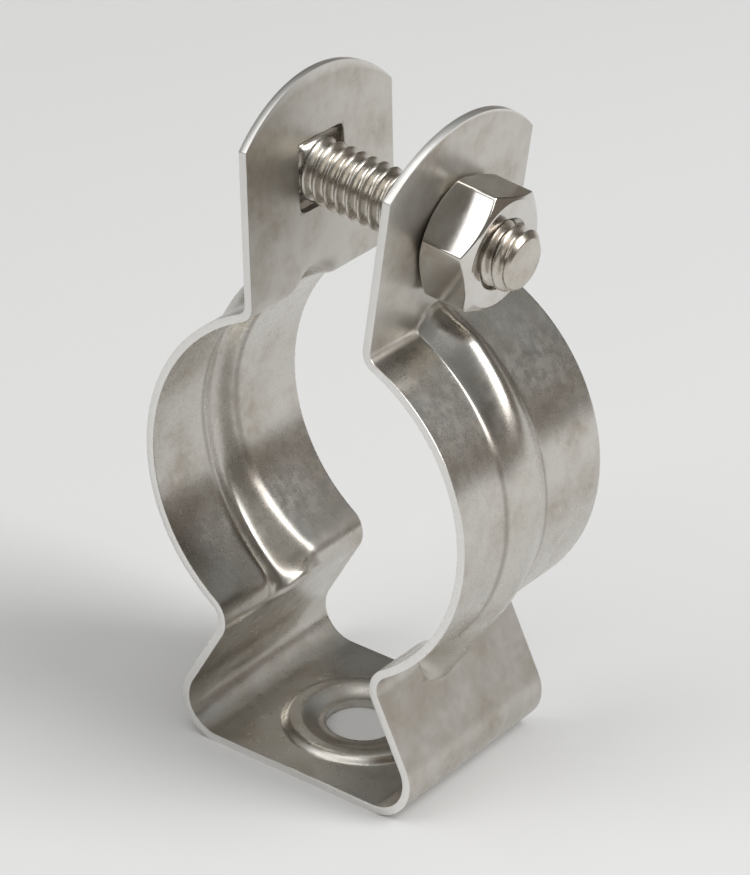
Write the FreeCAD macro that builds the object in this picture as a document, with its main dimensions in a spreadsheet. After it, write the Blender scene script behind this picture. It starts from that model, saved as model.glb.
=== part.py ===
"""Conduit hanger: one folded steel strap that grips a conduit, drawn up by a carriage bolt and a hex nut.

The frame: X runs along the bolt, from its head to its nut, Y along the conduit, Z up from the base.
The origin is the centre of the base's underside. Lengths are millimetres and angles degrees.
"""
import FreeCAD, Part
import math
import os

import Sketcher

Vector = FreeCAD.Vector
Rotation = FreeCAD.Rotation
Placement = FreeCAD.Placement

# Driving dimensions: alias, value, what it measures.
DIMENSIONS = [
    ("sheet", 0.8, "thickness of the strap"),
    ("strap_width", 22.2, "width of the strap, along the conduit"),
    ("base_flat", 19.0, "flat part of the base, across its bent corners"),
    ("corner_bend", 3.4, "inside radius of the base's corners"),
    ("flank_lean", 28.3, "lean of the flanks, inwards from upright"),
    ("ring_radius", 17.7, "radius of the seat for the conduit"),
    ("seat_height", 13.1, "height of the seat's lowest point over the base's underside"),
    ("neck_bend", 2.0, "radius in the valley between a flank and the ring"),
    ("ear_bend", 1.1, "radius in the valley between the ring and an ear"),
    ("ear_gap", 12.4, "gap between the ears where they leave the ring"),
    ("left_splay", 4.0, "outward lean of the left ear"),
    ("right_splay", 5.8, "outward lean of the right ear"),
    ("ear_rise", 16.521, "height over the ears' feet at which their straight sides end"),
    ("ear_crown", 4.7, "rise of the ears' round tops over the shoulders"),
    ("rib_crest", 2.0, "width of the pressed ribs along their crest"),
    ("rib_slope", 30, "angle of the ribs' sides to the strap"),
    ("rib_height", 0.75, "rise of a rib over the strap at its lowest, half way up the ring"),
    ("rib_flatness", 2.9, "distance from the ring's axis back to the axis of a rib's crest"),
    ("rib_lift", 0.4, "height of that axis over the ring's axis"),
    ("rib_shift", -1.2, "place of the ribs' centre line along the conduit"),
    ("rib_round", 1.8, "inside radius along the edges of the ribs' crest"),
    ("rib_reach", 3.0, "depth to which the ribs' section runs inside the seat's radius"),
    ("base_hole", 7.1, "diameter of the fixing hole in the base"),
    ("bead_outer", 15.8, "outer diameter of the raised bead round that hole"),
    ("bead_inner", 9.0, "inner diameter of that bead"),
    ("bead_height", 0.6, "rise of the bead over the base"),
    ("bolt_rise", 10.421, "height of the bolt's axis over the ears' feet, midway between the ears"),
    ("bolt_thread", 6.3, "outside diameter of the bolt's thread"),
    ("bolt_proud", 2.4, "length of bolt that stands out of the nut"),
    ("bolt_chamfer", 0.7, "chamfer on the bolt's end"),
    ("head_width", 14.2, "diameter of the bolt's domed head"),
    ("head_height", 3.3, "height of the dome"),
    ("head_rim", 0.6, "thickness of the dome's rim"),
    ("neck_width", 6.5, "width across the square neck under the head"),
    ("neck_room", 0.25, "clearance each side of the neck in its square hole"),
    ("neck_corner", 0.8, "radius in the corners of the square hole"),
    ("bolt_room", 0.35, "clearance round the bolt in the right ear"),
    ("nut_flats", 11.1, "width of the nut across its flats"),
    ("nut_thick", 5.56, "thickness of the nut"),
    ("nut_angle", 45.5, "angle of the nut's first corner about the bolt, from +Y"),
    ("nut_bevel", 30.0, "angle of the bevel that rounds the nut's corners"),
    ("nut_face", 10.4, "diameter of the nut's round faces inside that bevel"),
    ("nut_sink", 0.5, "depth of the countersunk mouths of the nut's bore"),
    ("thread_room", 0.05, "running clearance between the bolt and the nut's bore"),
    ("seat_room", 0.05, "gap between seated faces"),
]

doc = FreeCAD.newDocument("conduit_hanger")
sheet_object = doc.addObject("Spreadsheet::Sheet", "Dimensions")
for row, (alias, value, meaning) in enumerate(DIMENSIONS, start=1):
    sheet_object.set("A%d" % row, meaning)
    sheet_object.set("B%d" % row, str(value))
    sheet_object.setAlias("B%d" % row, alias)
doc.recompute()


def size(alias):
    """The sheet's value of a driving dimension."""
    return float(sheet_object.get(alias))


def ring_height():
    """The height of the conduit's axis over the base's underside."""
    return size("seat_height") + size("ring_radius")


def foot_height():
    """The height of the ears' feet, where their inner faces would meet the seat."""
    return ring_height() + math.sqrt(size("ring_radius") ** 2 - (size("ear_gap") / 2) ** 2)


# The same heights, and those that follow from them, as expressions for the sheet.
RING_HEIGHT = "(seat_height + ring_radius)"
FOOT_HEIGHT = "(seat_height + ring_radius + sqrt(ring_radius ^ 2 - (ear_gap / 2) ^ 2))"
SHOULDER_HEIGHT = "(%s + ear_rise)" % FOOT_HEIGHT
BOLT_HEIGHT = "(%s + bolt_rise)" % FOOT_HEIGHT


def bind(feature, prop, expression):
    """Ties a property to the sheet. Every word of the expression that is an alias reads its cell."""
    aliases = {row[0] for row in DIMENSIONS}
    text = ""
    word = ""
    for letter in expression + " ":
        if letter.isalnum() or letter == "_":
            word += letter
            continue
        text += "Dimensions." + word if word in aliases else word
        text += letter
        word = ""
    feature.setExpression(prop, text.strip())


def plane_of(body, role):
    """One of a body's own origin planes or axes, by its role."""
    return next(item for item in body.Origin.OriginFeatures if item.Role == role)


def new_sketch(body, name, role):
    """An empty sketch on one of the body's origin planes."""
    sketch = body.newObject("Sketcher::SketchObject", name)
    sketch.AttachmentSupport = [(plane_of(body, role), "")]
    sketch.MapMode = "FlatFace"
    return sketch


class Path:
    """A closed outline of lines and arcs in a sketch. Each piece is joined to the next at its end."""

    def __init__(self, sketch):
        self.sketch = sketch
        self.pieces = []

    def line(self, start, end, sharp=False):
        """Adds a straight piece, with a corner at its end where it is sharp, and returns its number."""
        number = self.sketch.addGeometry(Part.LineSegment(Vector(*start, 0), Vector(*end, 0)))
        self.pieces.append((number, 1, 2, sharp))
        return number

    def arc(self, centre, radius, first, last, sharp=False):
        """Adds an arc from the first angle to the last, in degrees: clockwise if the last is the less."""
        low, high = sorted((math.radians(first), math.radians(last)))
        circle = Part.Circle(Vector(*centre, 0), Vector(0, 0, 1), radius)
        number = self.sketch.addGeometry(Part.ArcOfCircle(circle, low, high))
        self.pieces.append((number, 1, 2, sharp) if last > first else (number, 2, 1, sharp))
        return number

    def join(self):
        """Joins each piece to the next, tangent where the joint isn't sharp, and the last to the first."""
        following = self.pieces[1:] + self.pieces[:1]
        for (number, _, end, sharp), (after, start, _, _) in zip(self.pieces, following):
            kind = "Coincident" if sharp else "Tangent"
            self.sketch.addConstraint(Sketcher.Constraint(kind, number, end, after, start))


def measure(sketch, name, constraint, expression):
    """Adds a named constraint to a sketch and ties its value to the sheet."""
    number = sketch.addConstraint(constraint)
    sketch.renameConstraint(number, name)
    bind(sketch, "Constraints." + name, expression)


def heading(vector):
    """The direction of a flat vector, in degrees."""
    return math.degrees(math.atan2(vector.y, vector.x))


def point_at(centre, radius, angle):
    """The point at an angle on a circle, as a pair."""
    turn = math.radians(angle)
    return (centre.x + radius * math.cos(turn), centre.y + radius * math.sin(turn))


class Fold:
    """Half of the strap's profile: bend centres and directions on the right, with Z as the second number."""

    def __init__(self, splay):
        sheet = size("sheet")
        lean, tilt = math.radians(size("flank_lean")), math.radians(splay)
        self.splay = splay
        self.axis = Vector(0, ring_height())
        self.flank_out = Vector(math.cos(lean), math.sin(lean))
        self.flank_up = Vector(-math.sin(lean), math.cos(lean))
        self.ear_out = Vector(math.cos(tilt), -math.sin(tilt))
        self.ear_up = Vector(math.sin(tilt), math.cos(tilt))
        self.corner = Vector(size("base_flat") / 2, sheet + size("corner_bend"))
        foot = self.corner + self.flank_out * size("corner_bend")
        self.neck = self.meet(foot, self.flank_up, self.flank_out, size("neck_bend") + sheet, -1)
        self.ear_foot = Vector(size("ear_gap") / 2, foot_height())
        self.bend = self.meet(self.ear_foot, self.ear_up, self.ear_out, size("ear_bend") + sheet, 1)

    def meet(self, foot, along, outward, radius, side):
        """The centre of a bend outside both a straight wall's inner face and the ring."""
        start = foot + outward * radius - self.axis
        reach = size("ring_radius") + radius
        middle = -start.dot(along)
        half = math.sqrt(middle ** 2 - start.dot(start) + reach ** 2)
        return self.axis + start + along * (middle + side * half)

    def pieces(self, skin, top):
        """The pieces from the base to an ear's top, for the face that lies skin outside the inner one."""
        lean = heading(self.flank_out)
        corner = size("corner_bend") + skin
        neck = size("neck_bend") + size("sheet") - skin
        ring = size("ring_radius") + skin
        bend = size("ear_bend") + size("sheet") - skin
        to_neck, to_bend = heading(self.neck - self.axis), heading(self.bend - self.axis)
        foot = self.bend - self.ear_out * bend
        tip = foot + self.ear_up * ((top - foot.y) / self.ear_up.y)
        return [
            ("arc", self.corner, corner, -90, lean),
            ("line", self.corner + self.flank_out * corner, self.neck - self.flank_out * neck),
            ("arc", self.neck, neck, 180 + lean, 180 + to_neck),
            ("arc", self.axis, ring, to_neck, to_bend),
            ("arc", self.bend, bend, 180 + to_bend, 180 - self.splay),
            ("line", foot, tip),
        ]


def mirrored(piece):
    """A piece of the right half on the left, drawn the other way round."""
    if piece[0] == "line":
        start, end = piece[1:]
        return ("line", Vector(-end.x, end.y), Vector(-start.x, start.y))
    centre, radius, first, last = piece[1:]
    return ("arc", Vector(-centre.x, centre.y), radius, 180 - last, 180 - first)


# The distance from the ring's axis to an ear's inner face.
EAR_OFFSET = "ear_gap / 2 * cos({0}) - sqrt(ring_radius ^ 2 - (ear_gap / 2) ^ 2) * sin({0})"


# How many crown heights over the shoulders the blank and the space inside it end, to be cut off later.
BLANK_SPARE = 2
INSIDE_SPARE = 3


def draw_face(sketch, outer):
    """Draws the folded sheet's outer or inner face as one closed outline, with a lid well over the ears."""
    skin = size("sheet") if outer else 0
    floor = 0 if outer else size("sheet")
    spare = BLANK_SPARE if outer else INSIDE_SPARE
    top = foot_height() + size("ear_rise") + size("ear_crown") * spare
    right = Fold(size("right_splay")).pieces(skin, top)
    left = [mirrored(piece) for piece in reversed(Fold(size("left_splay")).pieces(skin, top))]
    lid = ("line", right[-1][2], left[0][1])
    half = size("base_flat") / 2
    path = Path(sketch)
    base = path.line((-half, floor), (half, floor))
    numbers = []
    for piece in right + [lid] + left:
        if piece[0] == "line":
            sharp = piece in (right[-1], lid)
            numbers.append(path.line((piece[1].x, piece[1].y), (piece[2].x, piece[2].y), sharp))
        else:
            numbers.append(path.arc((piece[1].x, piece[1].y), *piece[2:]))
    path.join()

    grown, shrunk = (" + sheet", "") if outer else ("", " + sheet")
    lid_line = numbers[len(right)]
    rightwards, leftwards = numbers[:len(right)], numbers[:len(right):-1]
    sides = {
        "Right": (rightwards, "90 + flank_lean", "90 - right_splay", "right_splay"),
        "Left": (leftwards, "-90 - flank_lean", "left_splay - 90", "left_splay"),
    }
    sketch.addConstraint(Sketcher.Constraint("Horizontal", base))
    sketch.addConstraint(Sketcher.Constraint("Horizontal", lid_line))
    measure(sketch, "BaseRight", Sketcher.Constraint("DistanceX", -1, 1, base, 2, half), "base_flat / 2")
    measure(sketch, "BaseLeft", Sketcher.Constraint("DistanceX", base, 1, -1, 1, half), "base_flat / 2")
    if outer:
        sketch.addConstraint(Sketcher.Constraint("PointOnObject", base, 1, -1))
    else:
        measure(sketch, "Floor", Sketcher.Constraint("DistanceY", -1, 1, base, 1, floor), "sheet")
    height = Sketcher.Constraint("DistanceY", -1, 1, lid_line, 1, top)
    measure(sketch, "Top", height, "%s + ear_crown * %d" % (SHOULDER_HEIGHT, spare))
    for side, (pieces, flank_angle, ear_angle, splay) in sides.items():
        corner, flank, neck, ring, bend, ear = pieces
        for name, number, radius in (
            ("Corner", corner, "corner_bend" + grown),
            ("Neck", neck, "neck_bend" + shrunk),
            ("Ring", ring, "ring_radius" + grown),
            ("Bend", bend, "ear_bend" + shrunk),
        ):
            start = sketch.Geometry[number].Radius
            measure(sketch, side + name, Sketcher.Constraint("Radius", number, start), radius)
        for name, number, angle in (("Flank", flank, flank_angle), ("Ear", ear, ear_angle)):
            line = sketch.Geometry[number]
            turn = math.radians(heading(line.EndPoint - line.StartPoint))
            measure(sketch, side + name, Sketcher.Constraint("Angle", number, turn), angle)
        if side == "Right":
            sketch.addConstraint(Sketcher.Constraint("PointOnObject", ring, 3, -2))
            height = Sketcher.Constraint("DistanceY", -1, 1, ring, 3, ring_height())
            measure(sketch, "RingHeight", height, RING_HEIGHT)
            first_ring = ring
        else:
            sketch.addConstraint(Sketcher.Constraint("Coincident", ring, 3, first_ring, 3))
        fold = Fold(size(splay))
        reach = (fold.ear_foot - fold.axis).dot(fold.ear_out) + skin
        offset = Sketcher.Constraint("Distance", ring, 3, ear, reach)
        measure(sketch, side + "EarOffset", offset, EAR_OFFSET.format(splay) + grown)


def draw_rib(sketch, outer):
    """Draws a rib's section, outer or inner face, with the axis of its crest as the sketch's upright axis."""
    slope = math.radians(size("rib_slope"))
    crest = size("ring_radius") + size("rib_height") + size("rib_flatness") + (size("sheet") if outer else 0)
    root = size("ring_radius") + size("rib_flatness") - size("rib_reach")
    radius = size("rib_round") + (size("sheet") if outer else 0)
    flat = size("rib_crest") - 2 * (size("rib_round") + size("sheet")) * math.tan(slope / 2)
    low, high = size("rib_shift") - flat / 2, size("rib_shift") + flat / 2
    swing = math.sin(slope) * radius
    drop = (1 - math.cos(slope)) * radius
    spread = (crest - drop - root) / math.tan(slope)
    path = Path(sketch)
    front = path.line((root, low - swing - spread), (crest - drop, low - swing))
    front_round = path.arc((crest - radius, low), radius, -size("rib_slope"), 0)
    crest_line = path.line((crest, low), (crest, high))
    back_round = path.arc((crest - radius, high), radius, 0, size("rib_slope"))
    back = path.line((crest - drop, high + swing), (root, high + swing + spread), sharp=True)
    bottom = path.line((root, high + swing + spread), (root, low - swing - spread), sharp=True)
    path.join()

    grown = " + sheet" if outer else ""
    flat_text = "rib_crest - 2 * (rib_round + sheet) * tan(rib_slope / 2)"
    sketch.addConstraint(Sketcher.Constraint("Vertical", crest_line))
    sketch.addConstraint(Sketcher.Constraint("Vertical", bottom))
    for name, number in (("FrontRound", front_round), ("BackRound", back_round)):
        measure(sketch, name, Sketcher.Constraint("Radius", number, radius), "rib_round" + grown)
    measure(sketch, "FrontSlope", Sketcher.Constraint("Angle", front, math.pi / 2 - slope), "90 - rib_slope")
    measure(sketch, "BackSlope", Sketcher.Constraint("Angle", back, math.pi / 2 + slope), "90 + rib_slope")
    place = Sketcher.Constraint("DistanceX", -1, 1, crest_line, 1, crest)
    measure(sketch, "Crest", place, "ring_radius + rib_height + rib_flatness" + grown)
    place = Sketcher.Constraint("DistanceX", -1, 1, bottom, 1, root)
    measure(sketch, "Root", place, "ring_radius + rib_flatness - rib_reach")
    measure(sketch, "Flat", Sketcher.Constraint("DistanceY", crest_line, 1, crest_line, 2, flat), flat_text)
    place = Sketcher.Constraint("DistanceY", -1, 1, crest_line, 1, low)
    measure(sketch, "Shift", place, "rib_shift - (%s) / 2" % flat_text)


def add_feature(body, kind, name, profile, **settings):
    """Adds a feature made from a sketch. Settings given as text are bound to the sheet, others are set."""
    feature = body.newObject("PartDesign::" + kind, name)
    feature.Profile = profile
    for prop, value in settings.items():
        if prop in ("Length", "Angle") and isinstance(value, str):
            bind(feature, prop, value)
        else:
            setattr(feature, prop, value)
    profile.Visibility = False
    doc.recompute()
    return feature


def add_mirror(body, name, feature):
    """Repeats a feature on the other side of the body's YZ plane."""
    mirror = body.newObject("PartDesign::Mirrored", name)
    mirror.Originals = [feature]
    mirror.MirrorPlane = (plane_of(body, "YZ_Plane"), [""])
    body.Tip = mirror
    doc.recompute()


def circle(sketch, name, radius, expression):
    """Draws a circle about the sketch's origin."""
    number = sketch.addGeometry(Part.Circle(Vector(0, 0, 0), Vector(0, 0, 1), radius))
    sketch.addConstraint(Sketcher.Constraint("Coincident", number, 3, -1, 1))
    measure(sketch, name, Sketcher.Constraint("Radius", number, radius), expression)


# How far round its axis a rib's section runs, so that it ends in the flanks and the ears.
RIB_SWEEP = 150


def add_ribs(body, name, kind, outer):
    """One face of the rib pressed out of each arm, which stiffens its two bends."""
    sketch = new_sketch(body, name + "Section", "XY_Plane")
    draw_rib(sketch, outer)
    bind(sketch, "AttachmentOffset.Base.x", "-rib_flatness")
    bind(sketch, "AttachmentOffset.Base.z", RING_HEIGHT + " + rib_lift")
    axis = (sketch, ["V_Axis"])
    feature = add_feature(body, kind, name, sketch, ReferenceAxis=axis, Angle=RIB_SWEEP, Midplane=True)
    add_mirror(body, name + "Pair", feature)


def bore_frame(sketch):
    """Turns a sketch on the YZ plane square to the bolt, with its origin on the bolt's axis."""
    sketch.AttachmentOffset = Placement(Vector(0, 0, 0), Rotation(Vector(1, 0, 0), 1))
    bind(sketch, "AttachmentOffset.Base.y", BOLT_HEIGHT)
    bind(sketch, "AttachmentOffset.Rotation.Angle", "right_splay")


def draw_square(sketch, half, half_text, corner, corner_text):
    """Draws a square with round corners about the sketch's origin."""
    inner = half - corner
    path = Path(sketch)
    sides = []
    for turn in range(4):
        spin = Rotation(Vector(0, 0, 1), 90 * turn)
        start, end = spin * Vector(half, -inner, 0), spin * Vector(half, inner, 0)
        centre = spin * Vector(inner, inner, 0)
        sides.append(path.line((start.x, start.y), (end.x, end.y)))
        arc = path.arc((centre.x, centre.y), corner, 90 * turn, 90 * turn + 90)
        measure(sketch, "Corner%d" % turn, Sketcher.Constraint("Radius", arc, corner), corner_text)
    path.join()
    for turn, side in enumerate(sides):
        upright = turn % 2 == 0
        sketch.addConstraint(Sketcher.Constraint("Vertical" if upright else "Horizontal", side))
        kind = "DistanceX" if upright else "DistanceY"
        ends = (-1, 1, side, 1) if turn < 2 else (side, 1, -1, 1)
        measure(sketch, "Side%d" % turn, Sketcher.Constraint(kind, *ends, half), half_text)


def draw_crown(sketch):
    """Draws what is cut off above the ears' round tops."""
    half, shoulder, crown = size("strap_width") / 2, foot_height() + size("ear_rise"), size("ear_crown")
    radius = (half ** 2 + crown ** 2) / (2 * crown)
    centre = Vector(0, shoulder + crown - radius)
    reach = math.degrees(math.atan2(shoulder - centre.y, half))
    side, top = half + crown, shoulder + INSIDE_SPARE * crown
    path = Path(sketch)
    arc = path.arc((centre.x, centre.y), radius, 180 - reach, reach, sharp=True)
    rightwards = [(half, shoulder), (side, shoulder), (side, top)]
    corners = rightwards + [(-x, y) for x, y in reversed(rightwards)]
    lines = [path.line(start, end, sharp=True) for start, end in zip(corners, corners[1:])]
    path.join()
    for number in (lines[0], lines[2], lines[4]):
        sketch.addConstraint(Sketcher.Constraint("Horizontal", number))
    for number in (lines[1], lines[3]):
        sketch.addConstraint(Sketcher.Constraint("Vertical", number))
    place = (-1, 1, lines[0], 1)
    measure(sketch, "Shoulder", Sketcher.Constraint("DistanceY", *place, shoulder), SHOULDER_HEIGHT)
    measure(sketch, "HalfWidth", Sketcher.Constraint("DistanceX", *place, half), "strap_width / 2")
    width = Sketcher.Constraint("DistanceX", arc, 2, arc, 1, 2 * half)
    measure(sketch, "Width", width, "strap_width")
    text = "((strap_width / 2) ^ 2 + ear_crown ^ 2) / (2 * ear_crown)"
    measure(sketch, "Crown", Sketcher.Constraint("Radius", arc, radius), text)
    sketch.addConstraint(Sketcher.Constraint("PointOnObject", arc, 3, -2))
    for name, line in (("RightSpare", lines[0]), ("LeftSpare", lines[4])):
        measure(sketch, name, Sketcher.Constraint("Distance", line, crown), "ear_crown")
    height = Sketcher.Constraint("Distance", lines[1], INSIDE_SPARE * crown)
    measure(sketch, "Above", height, "ear_crown * %d" % INSIDE_SPARE)


def draw_bead(sketch, outer):
    """Draws the round section of the bead about the base's hole: its top, or the hollow under it."""
    middle = (size("bead_outer") + size("bead_inner")) / 4
    half = (size("bead_outer") - size("bead_inner")) / 4
    rise, sheet = size("bead_height"), size("sheet")
    radius = (half ** 2 + rise ** 2) / (2 * rise)
    centre = sheet + rise - radius
    floor = sheet if outer else 0
    bent = radius if outer else radius - sheet
    reach = math.degrees(math.asin((floor - centre) / bent))
    text = "((bead_outer - bead_inner) ^ 2 / 16 + bead_height ^ 2) / (2 * bead_height)"
    path = Path(sketch)
    arc = path.arc((middle, centre), bent, reach, 180 - reach, sharp=True)
    start, end = sketch.Geometry[arc].EndPoint, sketch.Geometry[arc].StartPoint
    chord = path.line((start.x, start.y), (end.x, end.y), sharp=True)
    path.join()
    sketch.addConstraint(Sketcher.Constraint("Horizontal", chord))
    place = Sketcher.Constraint("DistanceX", -1, 1, arc, 3, middle)
    measure(sketch, "Middle", place, "(bead_outer + bead_inner) / 4")
    measure(sketch, "Bend", Sketcher.Constraint("Radius", arc, bent), text + ("" if outer else " - sheet"))
    if outer:
        measure(sketch, "Floor", Sketcher.Constraint("DistanceY", -1, 1, chord, 1, sheet), "sheet")
        width = Sketcher.Constraint("DistanceX", chord, 1, chord, 2, 2 * half)
        measure(sketch, "Width", width, "(bead_outer - bead_inner) / 2")
    else:
        sketch.addConstraint(Sketcher.Constraint("PointOnObject", chord, 1, -1))
        depth = Sketcher.Constraint("DistanceY", arc, 3, -1, 1, -centre)
        measure(sketch, "Depth", depth, "%s - sheet - bead_height" % text)


def make_strap():
    """The folded strap: a solid of its outer form, hollowed by its inner form, then pierced."""
    body = doc.addObject("PartDesign::Body", "Strap")
    body.Label = "strap"
    sketch = new_sketch(body, "OuterFace", "XZ_Plane")
    draw_face(sketch, True)
    add_feature(body, "Pad", "Blank", sketch, SideType="Symmetric", Length="strap_width")
    add_ribs(body, "Rib", "Revolution", True)
    sketch = new_sketch(body, "InnerFace", "XZ_Plane")
    draw_face(sketch, False)
    add_feature(body, "Pocket", "Inside", sketch, SideType="Symmetric", Length="strap_width * 2")
    add_ribs(body, "RibGroove", "Groove", False)

    sketch = new_sketch(body, "EarTops", "YZ_Plane")
    draw_crown(sketch)
    add_feature(body, "Pocket", "RoundEars", sketch, SideType="Symmetric", Length="ring_radius * 4")

    sketch = new_sketch(body, "NutEarHole", "YZ_Plane")
    circle(sketch, "Radius", size("bolt_thread") / 2, "bolt_thread / 2 + bolt_room")
    bore_frame(sketch)
    add_feature(body, "Pocket", "BoltHole", sketch, Length="ring_radius", Reversed=True)

    sketch = new_sketch(body, "HeadEarHole", "YZ_Plane")
    half = size("neck_width") / 2 + size("neck_room")
    draw_square(sketch, half, "neck_width / 2 + neck_room", size("neck_corner"), "neck_corner")
    bore_frame(sketch)
    add_feature(body, "Pocket", "SquareHole", sketch, Length="ring_radius")

    sketch = new_sketch(body, "BeadTop", "XZ_Plane")
    draw_bead(sketch, True)
    add_feature(body, "Revolution", "Bead", sketch, ReferenceAxis=(sketch, ["V_Axis"]), Angle=360)
    sketch = new_sketch(body, "BeadHollow", "XZ_Plane")
    draw_bead(sketch, False)
    add_feature(body, "Groove", "BeadGroove", sketch, ReferenceAxis=(sketch, ["V_Axis"]), Angle=360)

    sketch = new_sketch(body, "FixingHole", "XY_Plane")
    circle(sketch, "Radius", size("base_hole") / 2, "base_hole / 2")
    add_feature(body, "Pocket", "BaseHole", sketch, Length="sheet * 2", Reversed=True)
    return body


# Where the nut ear's outer face and the head ear's outer face cross the bolt's axis, along that axis.
NUT_EAR = "(ear_gap / 2 * cos(right_splay) + bolt_rise * sin(right_splay) + sheet)"
SQUARE_TO_HEAD_EAR = "(ear_gap / 2 * cos(left_splay) + bolt_rise * sin(left_splay) + sheet)"
HEAD_EAR = SQUARE_TO_HEAD_EAR + " / cos(left_splay + right_splay)"
# The head meets the sloping ear at one side of its rim, so its underside stands off at the axis.
HEAD_REACH = "(head_width / 2 * tan(left_splay + right_splay) + seat_room)"
NECK_LENGTH = HEAD_REACH + " + sheet / cos(left_splay + right_splay)"
BOLT_LENGTH = "%s + %s + %s + seat_room + nut_thick + bolt_proud" % (HEAD_REACH, HEAD_EAR, NUT_EAR)


def new_bolt_body(name, label):
    """A body whose X axis is the bolt's axis, pointing from head to nut, square to the nut's ear."""
    body = doc.addObject("PartDesign::Body", name)
    body.Label = label
    body.Placement = Placement(Vector(0, 0, 0), Rotation(Vector(0, 1, 0), 1))
    bind(body, "Placement.Base.z", BOLT_HEIGHT)
    bind(body, "Placement.Rotation.Angle", "right_splay")
    return body


def draw_bolt(sketch, length):
    """Draws the bolt's half section from the crown of its head to its chamfered end."""
    radius, chamfer = size("bolt_thread") / 2, size("bolt_chamfer")
    head, rise, rim = size("head_width") / 2, size("head_height"), size("head_rim")
    dome = (head ** 2 + (rise - rim) ** 2) / (2 * (rise - rim))
    edge = math.degrees(math.atan2(head, rise - rim - dome))
    path = Path(sketch)
    axis = path.line((-rise, 0), (length, 0), sharp=True)
    end = path.line((length, 0), (length, radius - chamfer), sharp=True)
    bevel = path.line((length, radius - chamfer), (length - chamfer, radius), sharp=True)
    shank = path.line((length - chamfer, radius), (0, radius), sharp=True)
    under = path.line((0, radius), (0, head), sharp=True)
    rim_line = path.line((0, head), (-rim, head), sharp=True)
    crown = path.arc((dome - rise, 0), dome, edge, 180, sharp=True)
    path.join()
    sketch.addConstraint(Sketcher.Constraint("Horizontal", axis))
    sketch.addConstraint(Sketcher.Constraint("Horizontal", shank))
    sketch.addConstraint(Sketcher.Constraint("Horizontal", rim_line))
    sketch.addConstraint(Sketcher.Constraint("Vertical", end))
    sketch.addConstraint(Sketcher.Constraint("PointOnObject", axis, 1, -1))
    sketch.addConstraint(Sketcher.Constraint("PointOnObject", under, 1, -2))
    sketch.addConstraint(Sketcher.Constraint("PointOnObject", under, 2, -2))
    sketch.addConstraint(Sketcher.Constraint("PointOnObject", crown, 3, -1))
    sketch.addConstraint(Sketcher.Constraint("Angle", bevel, math.radians(135)))
    for name, constraint, text in (
        ("Chamfer", Sketcher.Constraint("DistanceY", bevel, 1, bevel, 2, chamfer), "bolt_chamfer"),
        ("Shank", Sketcher.Constraint("DistanceY", -1, 1, shank, 2, radius), "bolt_thread / 2"),
        ("Head", Sketcher.Constraint("DistanceY", -1, 1, under, 2, head), "head_width / 2"),
        ("Rim", Sketcher.Constraint("DistanceX", rim_line, 2, rim_line, 1, rim), "head_rim"),
        ("Rise", Sketcher.Constraint("DistanceX", axis, 1, -1, 1, rise), "head_height"),
        ("Length", Sketcher.Constraint("DistanceX", -1, 1, axis, 2, length), BOLT_LENGTH),
    ):
        measure(sketch, name, constraint, text)


def make_bolt():
    """The carriage bolt: a domed head, a short square neck that the left ear holds, and a round shank."""
    body = new_bolt_body("Bolt", "carriage_bolt")
    start = "-(%s) - (%s)" % (HEAD_EAR, HEAD_REACH)
    sketch = new_sketch(body, "BoltSection", "XZ_Plane")
    draw_bolt(sketch, 4 * size("nut_thick"))
    bind(sketch, "AttachmentOffset.Base.x", start)
    add_feature(body, "Revolution", "Shank", sketch, ReferenceAxis=(sketch, ["H_Axis"]), Angle=360)
    sketch = new_sketch(body, "NeckSection", "YZ_Plane")
    corner = size("neck_corner") - size("neck_room")
    draw_square(sketch, size("neck_width") / 2, "neck_width / 2", corner, "neck_corner - neck_room")
    bind(sketch, "AttachmentOffset.Base.z", start)
    add_feature(body, "Pad", "Neck", sketch, Length=NECK_LENGTH)
    return body


def draw_hexagon(sketch):
    """Draws the nut's hexagon on a construction circle through its corners."""
    radius = size("nut_flats") / math.sqrt(3)
    first = size("nut_angle")
    ring = sketch.addGeometry(Part.Circle(Vector(0, 0, 0), Vector(0, 0, 1), radius), True)
    corners = [point_at(Vector(0, 0), radius, first + 60 * turn) for turn in range(6)]
    path = Path(sketch)
    sides = [path.line(start, end, sharp=True) for start, end in zip(corners, corners[1:] + corners[:1])]
    path.join()
    sketch.addConstraint(Sketcher.Constraint("Coincident", ring, 3, -1, 1))
    measure(sketch, "Corners", Sketcher.Constraint("Radius", ring, radius), "nut_flats / sqrt(3)")
    for side in sides:
        sketch.addConstraint(Sketcher.Constraint("PointOnObject", side, 1, ring))
    for side in sides[1:]:
        sketch.addConstraint(Sketcher.Constraint("Equal", sides[0], side))
    turn = Sketcher.Constraint("Angle", sides[0], math.radians(first + 120))
    measure(sketch, "Turn", turn, "nut_angle + 120")


# The radius at which the bevels' cuts end, past the nut's corners, as a share of its width across flats.
PAST_CORNERS = 0.6


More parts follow.
